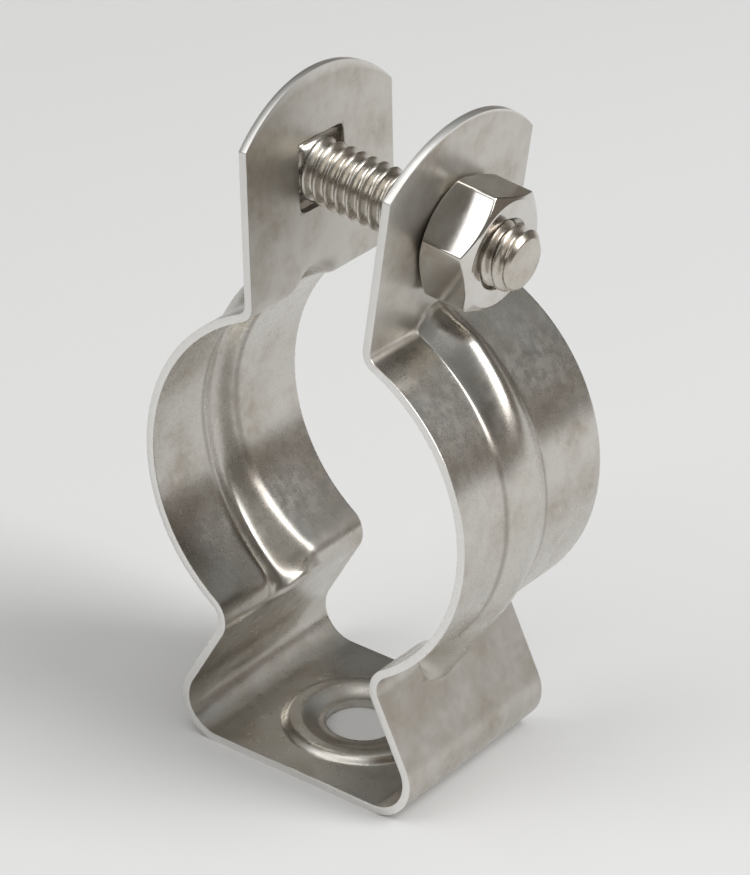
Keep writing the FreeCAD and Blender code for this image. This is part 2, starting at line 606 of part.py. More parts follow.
def draw_bevels(sketch):
    """Draws the two triangles that are turned off the nut's corners, one at each face."""
    thick, face = size("nut_thick"), size("nut_face") / 2
    outside = PAST_CORNERS * size("nut_flats")
    depth = (outside - face) * math.tan(math.radians(size("nut_bevel")))
    for name, flat, inward in (("Near", 0, depth), ("Far", thick, -depth)):
        path = Path(sketch)
        slope = path.line((flat, face), (flat + inward, outside), sharp=True)
        top = path.line((flat + inward, outside), (flat, outside), sharp=True)
        side = path.line((flat, outside), (flat, face), sharp=True)
        path.join()
        sketch.addConstraint(Sketcher.Constraint("Horizontal", top))
        sketch.addConstraint(Sketcher.Constraint("Vertical", side))
        turn = math.atan2(outside - face, inward)
        text = "90 - nut_bevel" if name == "Near" else "90 + nut_bevel"
        measure(sketch, name + "Bevel", Sketcher.Constraint("Angle", slope, turn), text)
        face_height = Sketcher.Constraint("DistanceY", -1, 1, slope, 1, face)
        measure(sketch, name + "Face", face_height, "nut_face / 2")
        top_height = Sketcher.Constraint("DistanceY", -1, 1, top, 1, outside)
        measure(sketch, name + "Outside", top_height, "nut_flats * %s" % PAST_CORNERS)
        if name == "Near":
            sketch.addConstraint(Sketcher.Constraint("PointOnObject", side, 1, -2))
        else:
            place = Sketcher.Constraint("DistanceX", -1, 1, side, 1, thick)
            measure(sketch, "Thick", place, "nut_thick")


def draw_bore(sketch):
    """Draws half of the nut's bore with its countersunk mouths."""
    radius = size("bolt_thread") / 2 + size("thread_room")
    thick, sink = size("nut_thick"), size("nut_sink")
    near_end = [(0, 0), (0, radius + sink), (sink, radius)]
    points = near_end + [(thick - x, y) for x, y in reversed(near_end)]
    path = Path(sketch)
    lines = [path.line(start, end, sharp=True) for start, end in zip(points, points[1:] + points[:1])]
    path.join()
    near, near_sink, bore, far_sink, far, axis = lines
    sketch.addConstraint(Sketcher.Constraint("Vertical", near))
    sketch.addConstraint(Sketcher.Constraint("Vertical", far))
    sketch.addConstraint(Sketcher.Constraint("Horizontal", bore))
    sketch.addConstraint(Sketcher.Constraint("Horizontal", axis))
    sketch.addConstraint(Sketcher.Constraint("Coincident", near, 1, -1, 1))
    sketch.addConstraint(Sketcher.Constraint("Angle", near_sink, math.radians(-45)))
    sketch.addConstraint(Sketcher.Constraint("Angle", far_sink, math.radians(45)))
    for name, constraint, text in (
        ("Bore", Sketcher.Constraint("DistanceY", -1, 1, bore, 1, radius), "bolt_thread / 2 + thread_room"),
        ("NearSink", Sketcher.Constraint("DistanceY", near_sink, 2, near_sink, 1, sink), "nut_sink"),
        ("FarSink", Sketcher.Constraint("DistanceY", far_sink, 1, far_sink, 2, sink), "nut_sink"),
        ("Thick", Sketcher.Constraint("DistanceX", -1, 1, far, 1, thick), "nut_thick"),
    ):
        measure(sketch, name, constraint, text)


def make_nut():
    """The hex nut, seated on the right ear's outer face."""
    body = new_bolt_body("Nut", "hex_nut")
    start = NUT_EAR + " + seat_room"
    sketch = new_sketch(body, "Hexagon", "YZ_Plane")
    draw_hexagon(sketch)
    bind(sketch, "AttachmentOffset.Base.z", start)
    add_feature(body, "Pad", "Hex", sketch, Length="nut_thick")
    for name, draw in (("Bevels", draw_bevels), ("Bore", draw_bore)):
        sketch = new_sketch(body, name + "Section", "XZ_Plane")
        draw(sketch)
        bind(sketch, "AttachmentOffset.Base.x", start)
        add_feature(body, "Groove", name, sketch, ReferenceAxis=(sketch, ["H_Axis"]), Angle=360)
    return body


def write_parts(bodies):
    """Checks the whole document, then writes each body to its own file."""
    doc.recompute()
    broken = [item.Name for item in doc.Objects if {"Invalid", "Error"} & set(item.State)]
    sketches = [item for item in doc.Objects if item.TypeId == "Sketcher::SketchObject"]
    loose = [sketch.Name for sketch in sketches if not sketch.FullyConstrained]
    if broken or loose:
        raise RuntimeError("broken: %s, not fully constrained: %s" % (broken, loose))
    for body in bodies:
        shape = body.Shape
        if shape.isNull() or not shape.isValid() or len(shape.Solids) != 1:
            raise RuntimeError("%s is not one valid solid" % body.Label)
    os.makedirs("parts", exist_ok=True)
    for body in bodies:
        body.Shape.exportStep("parts/%s.step" % body.Label)
        print("%s: %.1f cubic mm" % (body.Label, body.Shape.Volume))


write_parts([make_strap(), make_bolt(), make_nut()])
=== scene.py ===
import math

import bpy
import numpy as np
from mathutils import Matrix, Vector


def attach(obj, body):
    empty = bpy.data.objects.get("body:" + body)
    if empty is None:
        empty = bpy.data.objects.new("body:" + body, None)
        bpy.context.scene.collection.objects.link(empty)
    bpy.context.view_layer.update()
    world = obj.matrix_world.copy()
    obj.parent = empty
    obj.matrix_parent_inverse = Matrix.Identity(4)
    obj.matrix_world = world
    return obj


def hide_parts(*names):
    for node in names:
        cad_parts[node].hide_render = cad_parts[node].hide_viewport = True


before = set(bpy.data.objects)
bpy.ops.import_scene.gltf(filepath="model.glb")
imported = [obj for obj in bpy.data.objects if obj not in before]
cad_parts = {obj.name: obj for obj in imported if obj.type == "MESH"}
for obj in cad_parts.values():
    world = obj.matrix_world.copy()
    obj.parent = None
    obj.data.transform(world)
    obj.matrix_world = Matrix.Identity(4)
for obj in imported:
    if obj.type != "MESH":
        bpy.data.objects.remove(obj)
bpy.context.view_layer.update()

# The camera stands in front and a little above, on the nut's side, and leans slightly, as the
# photograph was taken: long lens, no shift and everything in focus.
CAMERA_AZIMUTH = math.radians(35.26)
CAMERA_ELEVATION = math.radians(29.10)
CAMERA_ROLL = math.radians(2.335)
CAMERA_DISTANCE = 0.3675
CAMERA_TARGET = Vector((0.00062, -0.00054, 0.03316))
LENS = 160.43
SENSOR = 36.0

camera = bpy.data.objects.new("camera", bpy.data.cameras.new("camera"))
camera.data.sensor_fit = "AUTO"
camera.data.sensor_width = SENSOR
camera.data.lens = LENS
camera.data.clip_start = 0.01
camera.data.clip_end = 20.0
back = Vector((
    math.sin(CAMERA_AZIMUTH) * math.cos(CAMERA_ELEVATION),
    -math.cos(CAMERA_AZIMUTH) * math.cos(CAMERA_ELEVATION),
    math.sin(CAMERA_ELEVATION),
))
level_right = Vector((math.cos(CAMERA_AZIMUTH), math.sin(CAMERA_AZIMUTH), 0.0))
level_up = back.cross(level_right)
right = level_right * math.cos(CAMERA_ROLL) + level_up * math.sin(CAMERA_ROLL)
up = back.cross(right)
place = CAMERA_TARGET + back * CAMERA_DISTANCE
camera.matrix_world = Matrix((
    (right.x, up.x, back.x, place.x),
    (right.y, up.y, back.y, place.y),
    (right.z, up.z, back.z, place.z),
    (0.0, 0.0, 0.0, 1.0),
))
bpy.context.scene.collection.objects.link(camera)
bpy.context.scene.camera = camera
bpy.context.scene.view_settings.view_transform = "Standard"

# The floor is a wide sheet of pale card. It takes the object's shadow, and the base and the lower
# bends of the metal reflect it.
FLOOR_REACH = 3.0
CARD_COLOUR = (0.80, 0.80, 0.80, 1.0)
CARD_ROUGHNESS = 0.9

floor_mesh = bpy.data.meshes.new("floor")
floor_mesh.from_pydata(
    [
        (-FLOOR_REACH, -FLOOR_REACH, 0.0),
        (FLOOR_REACH, -FLOOR_REACH, 0.0),
        (FLOOR_REACH, FLOOR_REACH, 0.0),
        (-FLOOR_REACH, FLOOR_REACH, 0.0),
    ],
    [],
    [(0, 1, 2, 3)],
)
floor = bpy.data.objects.new("floor", floor_mesh)
bpy.context.scene.collection.objects.link(floor)
card = bpy.data.materials.new("pale_card")
card.use_nodes = True
card_shader = card.node_tree.nodes["Principled BSDF"]
card_shader.inputs["Base Color"].default_value = CARD_COLOUR
card_shader.inputs["Roughness"].default_value = CARD_ROUGHNESS
floor_mesh.materials.append(card)

# Soft boxes light it from above, from the front left and from high on the right. The room round them
# is dim, darkest between 19 and 29 degrees above level, and the shaded sides of the metal reflect it.
# Each shade goes with the upward part of a direction.
OBJECT_MIDDLE = Vector((0.0, 0.0, 0.034))
ROOM_SHADES = [
    (0.00, (0.20, 0.175, 0.150)),
    (0.20, (0.18, 0.155, 0.130)),
    (0.32, (0.10, 0.090, 0.080)),
    (0.49, (0.09, 0.085, 0.078)),
    (0.60, (0.24, 0.245, 0.235)),
    (0.85, (0.34, 0.345, 0.340)),
]


def soft_box(name, position, width, length, power):
    """An area light, with its width level, that faces the middle of the object."""
    light = bpy.data.objects.new(name, bpy.data.lights.new(name, "AREA"))
    light.data.shape = "RECTANGLE"
    light.data.size = width
    light.data.size_y = length
    light.data.energy = power
    light.location = position
    direction = OBJECT_MIDDLE - Vector(position)
    light.rotation_euler = direction.to_track_quat("-Z", "Y").to_euler()
    bpy.context.scene.collection.objects.link(light)


soft_box("overhead_soft_box", (-0.08, -0.10, 0.92), 0.60, 0.60, 1.6)
soft_box("front_soft_box", (-0.34, -0.62, 0.64), 0.56, 0.56, 1.9)
soft_box("high_soft_box", (0.64, 0.24, 0.68), 0.48, 0.80, 6.4)

room = bpy.data.worlds.new("room")
room.use_nodes = True
room_nodes = room.node_tree.nodes
room_links = room.node_tree.links
direction = room_nodes.new("ShaderNodeTexCoord")
height = room_nodes.new("ShaderNodeSeparateXYZ")
room_links.new(direction.outputs["Generated"], height.inputs["Vector"])
shade = room_nodes.new("ShaderNodeValToRGB")
for share, colour in ROOM_SHADES[2:]:
    shade.color_ramp.elements.new(share)
for stop, (share, colour) in zip(shade.color_ramp.elements, ROOM_SHADES):
    stop.position = share
    stop.color = (*colour, 1.0)
room_links.new(height.outputs["Z"], shade.inputs["Fac"])
room_links.new(shade.outputs["Color"], room_nodes["Background"].inputs["Color"])
room_nodes["Background"].inputs["Strength"].default_value = 1.0
bpy.context.scene.world = room


# The strap is one length of stainless sheet, 22.2 mm wide and 0.8 mm thick: a flat base, two flanks
# that lean in, two arms that make a ring round the pipe, and two ears. Its corners are folded in a
# press tool, which also pushes a stiffening rib out of each arm and a round bead up out of the base.
# Sizes are in millimetres.
SHEET = 0.8
HALF_WIDTH = 11.1
HALF_BASE = 9.5
CORNER_BEND = 3.4
FLANK_LEAN = math.radians(28.3)
RING_RADIUS = 17.7
RING_HEIGHT = 30.8
RING_CENTRE = np.array([0.0, RING_HEIGHT])
NECK_BEND = 2.0
EAR_BEND = 1.1
EAR_FOOT = np.array([6.2, 47.379])
EAR_RISE = 16.521
EAR_CROWN = 4.7
CROWN_RADIUS = (HALF_WIDTH**2 + EAR_CROWN**2) / (2.0 * EAR_CROWN)
RIGHT_SPLAY = math.radians(5.8)
LEFT_SPLAY = math.radians(4.0)
BOLT_HEIGHT = 57.8
BOLT_TILT = RIGHT_SPLAY
MILLIMETRE = 0.001
FINE = 0.02
SHEARED = 0.14


def straight(start, end):
    """Points along a straight run, in x outwards and height."""
    share = np.linspace(0.0, 1.0, max(2, int(np.hypot(*(end - start)) / FINE)))[:, None]
    return start + share * (end - start)


def arc(centre, radius, first, last):
    """Points along an arc: its centre plus its radius at angles that go evenly from first to last."""
    turn = np.linspace(first, last, max(2, int(abs(last - first) * radius / FINE)))[:, None]
    return centre + radius * np.hstack((np.cos(turn), np.sin(turn)))


def touching(foot, along, off, radius, reach, way):
    """The centre of a bend that touches a straight run and the ring.

    It is off the run by its radius, its distance from the ring's middle is reach, and way says which
    of the two such places it takes.
    """
    start = foot + off * radius - RING_CENTRE
    middle = -start @ along
    half = math.sqrt(middle**2 - start @ start + reach**2)
    return RING_CENTRE + start + along * (middle + way * half)


def fold_line(splay):
    """The middle of the sheet on one side, from the base's middle to the ear's shoulder.

    Seven runs follow each other: half the base, the corner's arc, the flank, the neck's arc, the ring's
    arc, the ear's bend and the ear. Returns the points, the distance along them and where each ends.
    """
    half = SHEET / 2.0
    out = np.array([math.cos(FLANK_LEAN), math.sin(FLANK_LEAN)])
    upward = np.array([-math.sin(FLANK_LEAN), math.cos(FLANK_LEAN)])
    corner = np.array([HALF_BASE, SHEET + CORNER_BEND])
    flank_foot = corner + out * CORNER_BEND
    neck_radius = NECK_BEND + SHEET
    neck = touching(flank_foot, upward, out, neck_radius, RING_RADIUS + neck_radius, -1.0)
    ear_out = np.array([math.cos(splay), -math.sin(splay)])
    ear_up = np.array([math.sin(splay), math.cos(splay)])
    bend_radius = EAR_BEND + SHEET
    bend = touching(EAR_FOOT, ear_up, ear_out, bend_radius, RING_RADIUS + bend_radius, 1.0)
    to_neck = math.atan2(neck[1] - RING_HEIGHT, neck[0])
    to_bend = math.atan2(bend[1] - RING_HEIGHT, bend[0])
    ear_start = bend - ear_out * (bend_radius - half)
    ear_end = EAR_FOOT + ear_out * half + ear_up * EAR_RISE / math.cos(splay)
    runs = [
        straight(np.array([0.0, half]), np.array([HALF_BASE, half])),
        arc(corner, CORNER_BEND + half, -math.pi / 2.0, FLANK_LEAN),
        straight(flank_foot + out * half, neck - out * (neck_radius - half)),
        arc(neck, neck_radius - half, math.pi + FLANK_LEAN, math.pi + to_neck),
        arc(RING_CENTRE, RING_RADIUS + half, to_neck, to_bend),
        arc(bend, bend_radius - half, math.pi + to_bend, math.pi - splay),
        straight(ear_start, ear_end),
    ]
    points = np.concatenate(runs)
    way = np.concatenate(([0.0], np.cumsum(np.hypot(*np.diff(points, axis=0).T))))
    ends = way[np.cumsum([len(run) for run in runs]) - 1]
    return points, way, ends


right_line = fold_line(RIGHT_SPLAY)
left_line = fold_line(LEFT_SPLAY)

# A hole is opened in the grid by drawing its lines apart, and the part of the grid in it is left out.
# The base's hole and the right ear's are round, and the left ear's is square with eased corners. The
# rows lie closer together where the sheet bends, with so many in each run from the base upwards.
CORE = 2.5
BASE_HOLE = 3.55
BASE_REACH = 8.5
BOLT_HOLE = 3.5
EAR_REACH = 4.9
ROUND_POWER = 2.0
SQUARE_POWER = 9.0
CELL = 0.25
RUN_ROWS = [4, 17, 22, 14, 84, 11]
BELOW_HOLE_ROWS = 14
ABOVE_HOLE_ROWS = 8
TINY = 1e-9
AXIS_RUN = np.array([math.cos(BOLT_TILT), -math.sin(BOLT_TILT)])


def hole_place(splay, side, line):
    """How far along the sheet the bolt's axis goes through an ear.

    It is the length up to the ear's shoulder, less that from where the axis meets the ear's plane.
    The side is 1 for the right ear and -1 for the left.
    """
    out = np.array([math.cos(splay), -math.sin(splay)])
    foot = EAR_FOOT + out * SHEET / 2.0
    axis = AXIS_RUN * np.array([1.0, side])
    height = np.array([0.0, BOLT_HEIGHT])
    meet = height + axis * ((foot - height) @ out) / (axis @ out)
    points, way, ends = line
    return ends[-1] - math.hypot(*(points[-1] - meet))


right_hole = hole_place(RIGHT_SPLAY, 1.0, right_line)
left_hole = hole_place(LEFT_SPLAY, -1.0, left_line)


def stations(line, hole):
    """Distances along the sheet for the rows of one side, closer together where it bends."""
    ends = line[2]
    starts = [BASE_REACH, *ends[:5]]
    bends = [np.linspace(first, last, count) for first, last, count in zip(starts, ends, RUN_ROWS)]
    block = np.arange(hole - EAR_REACH, hole + EAR_REACH + CELL / 2.0, CELL)
    return np.unique(np.round(np.concatenate((
        np.arange(0.0, BASE_REACH + CELL / 2.0, CELL),
        *bends,
        np.linspace(ends[5], block[0], BELOW_HOLE_ROWS),
        block,
        np.linspace(block[-1], ends[6], ABOVE_HOLE_ROWS),
        [ends[6] - SHEARED],
    )), 6))


def opened(run, across, centre, half, power, reach):
    """Moves the grid's points off a hole, along lines from its centre.

    A square of the grid becomes the hole's edge, where the power mean of the two distances is half
    its width, a larger square stays as it is, and points between them are shared out evenly.
    """
    along = run - centre
    square = np.maximum(np.abs(along), np.abs(across))
    far = np.hypot(along, across)
    near = np.where(square < TINY, 1.0, square)
    mean = ((np.abs(along) / near)**power + (np.abs(across) / near)**power)**(1.0 / power)
    edge = half * far / (near * np.maximum(mean, 1.0))
    share = np.clip((square - CORE) / (reach - CORE), 0.0, 1.0)
    wanted = edge + share * (reach * far / near - edge)
    scale = np.where(square < reach, wanted / np.where(far < TINY, 1.0, far), 1.0)
    return centre + along * scale, across * scale


# A rib is pressed out of each arm. Its crest is an arc about a centre that isn't the ring's, drawn in
# and then out again towards the ear. Its half-widths, in front of the crest and behind it, are read
# at the angles round that centre.
RIB_RADIUS = 21.75
CREST_ANGLES = np.radians([48.0, 56.0, 60.0, 64.0, 70.0])
CREST_RADII = [RIB_RADIUS, 21.0, 20.85, 21.2, 22.2]
RIB_CENTRE = np.array([-2.9, 31.2])
LEAST_SIDE = 0.6
MOVE_FADE = 2.0
RIB_COLUMNS = [-4.0, -1.0, 2.0]
RIB_FOOT_ROUND = 0.32
CREASE_HEIGHT = 0.16
CREASE_LEAST_RIB = 0.3
CREASE_END = np.radians([42.0, 56.0])
SIGHT = np.array([-8.0, 24.0])
RIB_ANGLES = np.radians([-60.0, -45.0, -30.0, -10.0, 15.0, 40.0, 60.0])
RIGHT_MIDDLE = -1.2
RIGHT_RUN_OFF = math.radians(-32.0)
RIGHT_CREST_ROUND = 1.6
RIGHT_FRONT = [2.9, 3.2, 3.4, 3.3, 3.1, 2.8, 2.6]
RIGHT_BEHIND = [2.9, 3.1, 3.3, 3.2, 3.0, 2.9, 2.9]
LEFT_MIDDLE = -0.9
LEFT_RUN_OFF = math.radians(-89.0)
LEFT_CREST_ROUND = 0.8
LEFT_FRONT = [3.4, 2.8, 2.4, 2.4, 2.9, 3.4, 3.6]
LEFT_BEHIND = [4.6, 3.7, 3.0, 2.8, 2.7, 2.9, 3.0]


def eased_step(value):
    """Goes from 0 to 1 as the value does, level at both ends."""
    share = np.clip(value, 0.0, 1.0)
    return share**2 * (3.0 - 2.0 * share)


def ribbed(points, across, middle, run_off, crest_round, front, behind):
    """Pushes a rib out of one side's surface.

    Seen from one point inside the ring, a place's distance becomes the softened larger of its own and
    the rib's. The rib's crest is a circle, below the angle run_off a straight line that touches it,
    and each side falls from the rounded crest to the strap's own surface at its half-width. Returns
    the points, and a number that is 1 along the rib's feet, where it paints shade, and 0 elsewhere.
    """
    offset = points - SIGHT
    far = np.hypot(offset[..., 0], offset[..., 1])
    sight = offset / far[..., None]
    turn = np.arctan2(points[..., 1] - RIB_CENTRE[1], points[..., 0] - RIB_CENTRE[0])
    width = np.where(
        across < middle,
        np.interp(turn, RIB_ANGLES, front),
        np.interp(turn, RIB_ANGLES, behind),
    )
    fall = np.sqrt((across - middle)**2 + crest_round**2) - crest_round
    fall = fall / (np.sqrt(width**2 + crest_round**2) - crest_round)
    radius = np.interp(turn, CREST_ANGLES, CREST_RADII)
    centre = RIB_CENTRE - SIGHT
    along = sight @ centre
    aside = sight[..., 0] * centre[1] - sight[..., 1] * centre[0]
    round_part = along + np.sqrt(radius**2 - aside**2)
    normal = np.array([math.cos(run_off), math.sin(run_off)])
    straight_part = (centre @ normal + RIB_RADIUS) / (sight @ normal)
    touch = centre + RIB_RADIUS * normal
    below = sight[..., 0] * touch[1] - sight[..., 1] * touch[0] > 0.0
    height = np.where(below, straight_part, round_part) - far
    rise = height - fall * np.maximum(height, LEAST_SIDE)
    soft = np.clip(RIB_FOOT_ROUND - np.abs(rise), 0.0, None) / RIB_FOOT_ROUND
    raised = far + np.maximum(rise, 0.0) + soft**2 * RIB_FOOT_ROUND / 4.0
    # Painted shade: 1 along the rib's feet, where the colour is darkened, fading out towards the ear.
    crease_shade = np.where(height > CREASE_LEAST_RIB, np.exp(-(rise / CREASE_HEIGHT)**2), 0.0)
    crease_shade = crease_shade * np.interp(turn, CREASE_END, [1.0, 0.0])
    return SIGHT + sight * raised[..., None], crease_shade


def side_surface(line, hole, run, across, middle, run_off, crest_round, front, behind):
    """One side of the strap: the fold line at each distance along it, ribbed above the corner.

    Three columns of the grid are moved sideways along the arm, so that they run along the rib's crest
    and its two feet, and the columns between them share the move out evenly.
    """
    points, way, ends = line
    plain = np.stack((np.interp(run, way, points[:, 0]), np.interp(run, way, points[:, 1])), axis=-1)
    turn = np.arctan2(plain[..., 1] - RIB_CENTRE[1], plain[..., 0] - RIB_CENTRE[0])
    wanted = [
        middle - np.interp(turn, RIB_ANGLES, front),
        middle,
        middle + np.interp(turn, RIB_ANGLES, behind),
    ]
    part = eased_step((run - ends[1]) / MOVE_FADE) * eased_step((hole - EAR_REACH - run) / MOVE_FADE)
    fixed = [-HALF_WIDTH, *RIB_COLUMNS, HALF_WIDTH]
    moved = across
    for number, column in enumerate(RIB_COLUMNS):
        near_column = np.interp(across, fixed, np.eye(len(fixed))[number + 1])
        moved = moved + near_column * part * (wanted[number] - column)
    rib, crease_shade = ribbed(plain, moved, middle, run_off, crest_round, front, behind)
    above = run > ends[1]
    return (
        np.where(above, moved, across),
        np.where(above[..., None], rib, plain),
        np.where(above, crease_shade, 0.0),
    )


# The grid's columns run across the sheet, even in the middle, in pairs at each rib's crest and feet
# and close together at the edges. Its rows run from the left ear's top to the right ear's.
RIB_FLANKING = 0.12
EDGE_LINES = np.array([0.0, SHEARED, 0.4, 0.8])
OUTER_COLUMNS = 4
outer_band = np.linspace(BASE_REACH, HALF_WIDTH - EDGE_LINES[-1], OUTER_COLUMNS)
columns = np.unique(np.round(np.concatenate((
    np.array(RIB_COLUMNS) - RIB_FLANKING,
    np.array(RIB_COLUMNS) + RIB_FLANKING,
    np.arange(-BASE_REACH, BASE_REACH + CELL / 2.0, CELL),
    outer_band,
    -outer_band,
    HALF_WIDTH - EDGE_LINES,
    EDGE_LINES - HALF_WIDTH,
)), 6))
right_rows = stations(right_line, right_hole)
left_rows = stations(left_line, left_hole)
rows = np.concatenate((-left_rows[:0:-1], right_rows))
run, across = np.meshgrid(rows, columns, indexing="ij")

# Only the cells outside the three holes' cores are kept.
cell_run = (run[:-1, :-1] + run[1:, 1:]) / 2.0
cell_across = (across[:-1, :-1] + across[1:, 1:]) / 2.0
whole = np.ones(cell_run.shape, dtype=bool)
for centre in (0.0, right_hole, -left_hole):
    whole &= (np.abs(cell_run - centre) > CORE) | (np.abs(cell_across) > CORE)

# Each ear's rows above its hole are stretched up to the arc of its round top.
crown = np.sqrt(CROWN_RADIUS**2 - across**2) - (CROWN_RADIUS - EAR_CROWN)
right_top = right_line[2][-1]
left_top = left_line[2][-1]
right_fan = np.clip((run - right_hole - EAR_REACH) / (right_top - right_hole - EAR_REACH), 0.0, 1.0)
left_fan = np.clip((-run - left_hole - EAR_REACH) / (left_top - left_hole - EAR_REACH), 0.0, 1.0)
run, across = opened(run, across, 0.0, BASE_HOLE, ROUND_POWER, BASE_REACH)
run, across = opened(run, across, right_hole, BOLT_HOLE, ROUND_POWER, EAR_REACH)
run, across = opened(run, across, -left_hole, BOLT_HOLE, SQUARE_POWER, EAR_REACH)

right_across, right_side, right_crease_shade = side_surface(
    right_line,
    right_hole,
    np.abs(run),
    across,
    RIGHT_MIDDLE,
    RIGHT_RUN_OFF,
    RIGHT_CREST_ROUND,
    RIGHT_FRONT,
    RIGHT_BEHIND,
)
left_across, left_side, left_crease_shade = side_surface(
    left_line,
    left_hole,
    np.abs(run),
    across,
    LEFT_MIDDLE,
    LEFT_RUN_OFF,
    LEFT_CREST_ROUND,
    LEFT_FRONT,
    LEFT_BEHIND,
)
right_side += (right_fan * crown)[..., None] * np.array([math.sin(RIGHT_SPLAY), math.cos(RIGHT_SPLAY)])
left_side += (left_fan * crown)[..., None] * np.array([math.sin(LEFT_SPLAY), math.cos(LEFT_SPLAY)])

# The bead rises steeply from the base and falls in a long slope to the hole.
BEAD_OUTER = 7.9
BEAD_WALL = 1.0
BEAD_INNER = 4.1
BEAD_SLOPE = 2.2
BEAD_HEIGHT = 0.6
from_hole = np.hypot(run, across)
bead = BEAD_HEIGHT * eased_step((BEAD_OUTER - from_hole) / BEAD_WALL)
bead = bead * eased_step((from_hole - BEAD_INNER) / BEAD_SLOPE)
surface = np.stack((
    np.where(run < 0.0, -left_side[..., 0], right_side[..., 0]),
    np.where(run < 0.0, left_across, right_across),
    np.where(run < 0.0, left_side[..., 1], right_side[..., 1]) + bead,
), axis=-1)

# Painted shade along the ribs' feet and in the square hole.
HOLE_RIM = 0.05
in_hole = np.maximum(np.abs(run + left_hole), np.abs(across)) < BOLT_HOLE + HOLE_RIM
crease_shade = np.where(run < 0.0, left_crease_shade, right_crease_shade)
crease_shade = np.where(in_hole, 1.0, crease_shade)

# Painted highlight: the strip's sheared edges and the ears' tops are painted brighter than its rolled
# faces.
from_end = np.minimum(right_top - run, run + left_top)
from_side = HALF_WIDTH - np.abs(across)
sheared_highlight = np.clip(1.0 - np.minimum(from_end, from_side) / SHEARED, 0.0, 1.0)

# The press tools rub the arms bright, and the base and the left flank nearly as bright. The right
# flank and the ears stay dull.
BURNISH_FADE = 2.5
BURNISH_LEAD = 0.6
BASE_BURNISH = 0.8


def arm_burnish(way, ends):
    """1 along an arm and 0 past it, with an eased step at the neck and one at the ear's bend."""
    above_neck = eased_step((way - ends[3]) / BURNISH_FADE + BURNISH_LEAD)
    return above_neck * eased_step((ends[4] - way) / BURNISH_FADE + BURNISH_LEAD)


left_of_right_flank = eased_step((right_line[2][1] - run) / BURNISH_FADE)
below_left_ear = eased_step((run + left_line[2][4]) / BURNISH_FADE)
burnish = np.maximum(arm_burnish(run, right_line[2]), arm_burnish(-run, left_line[2]))
burnish = np.maximum(burnish, BASE_BURNISH * (left_of_right_flank * below_left_ear))


def grid_faces(count, width, wrap):
    """The corner numbers of a grid's cells, row by row, closed round its width if wrap is true."""
    number = np.arange(count * width).reshape(count, width)
    ahead = np.roll(number, -1, axis=1) if wrap else number[:, 1:]
    here = number if wrap else number[:, :-1]
    return np.stack((here[:-1], here[1:], ahead[1:], ahead[:-1]), axis=-1)


def make_piece(name, points, faces, node, body, material):
    """Puts points in millimetres and faces into a mesh, which stands for a node and rides its body."""
    mesh = bpy.data.meshes.new(name)
    mesh.from_pydata((points * MILLIMETRE).tolist(), [], faces)
    mesh.polygons.foreach_set("use_smooth", np.ones(len(mesh.polygons), dtype=bool))
    mesh.materials.append(material)
    mesh.update()
    piece = bpy.data.objects.new(name, mesh)
    bpy.context.scene.collection.objects.link(piece)
    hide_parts(node)
    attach(piece, body)
    return piece


# The noises' sizes are in features to a metre. Each range is the part of a noise that is used.
CLOUD = 170.0
FLECK = 900.0
SCUFF_LINES = (3400.0, 3000.0, 190.0)
CROSS_LINES = (500.0, 4200.0, 2600.0)
NOISE_FALL = 0.6
CLOUD_RANGE = (0.42, 0.66)
FLECK_RANGE = (0.3, 0.7)
SCUFF_RANGE = (0.55, 0.75)
CROSS_RANGE = (0.62, 0.8)
PAINTED_LIGHT_RANGE = (0.25, 1.0)
LEAST_FLECK = 0.4
ROUGHNESS_SWING = 0.03
RELIEF_DEPTH = 0.00005
DULL = 0.12
# Painted light: each attribute, its largest share and its colour, painted shade along the creases and a
# painted highlight on the sheared edges.
PAINTED_LIGHT = [
    ("crease_shade", 0.45, (0.16, 0.13, 0.10)),
    ("sheared_highlight", 0.85, (0.86, 0.85, 0.83)),
]


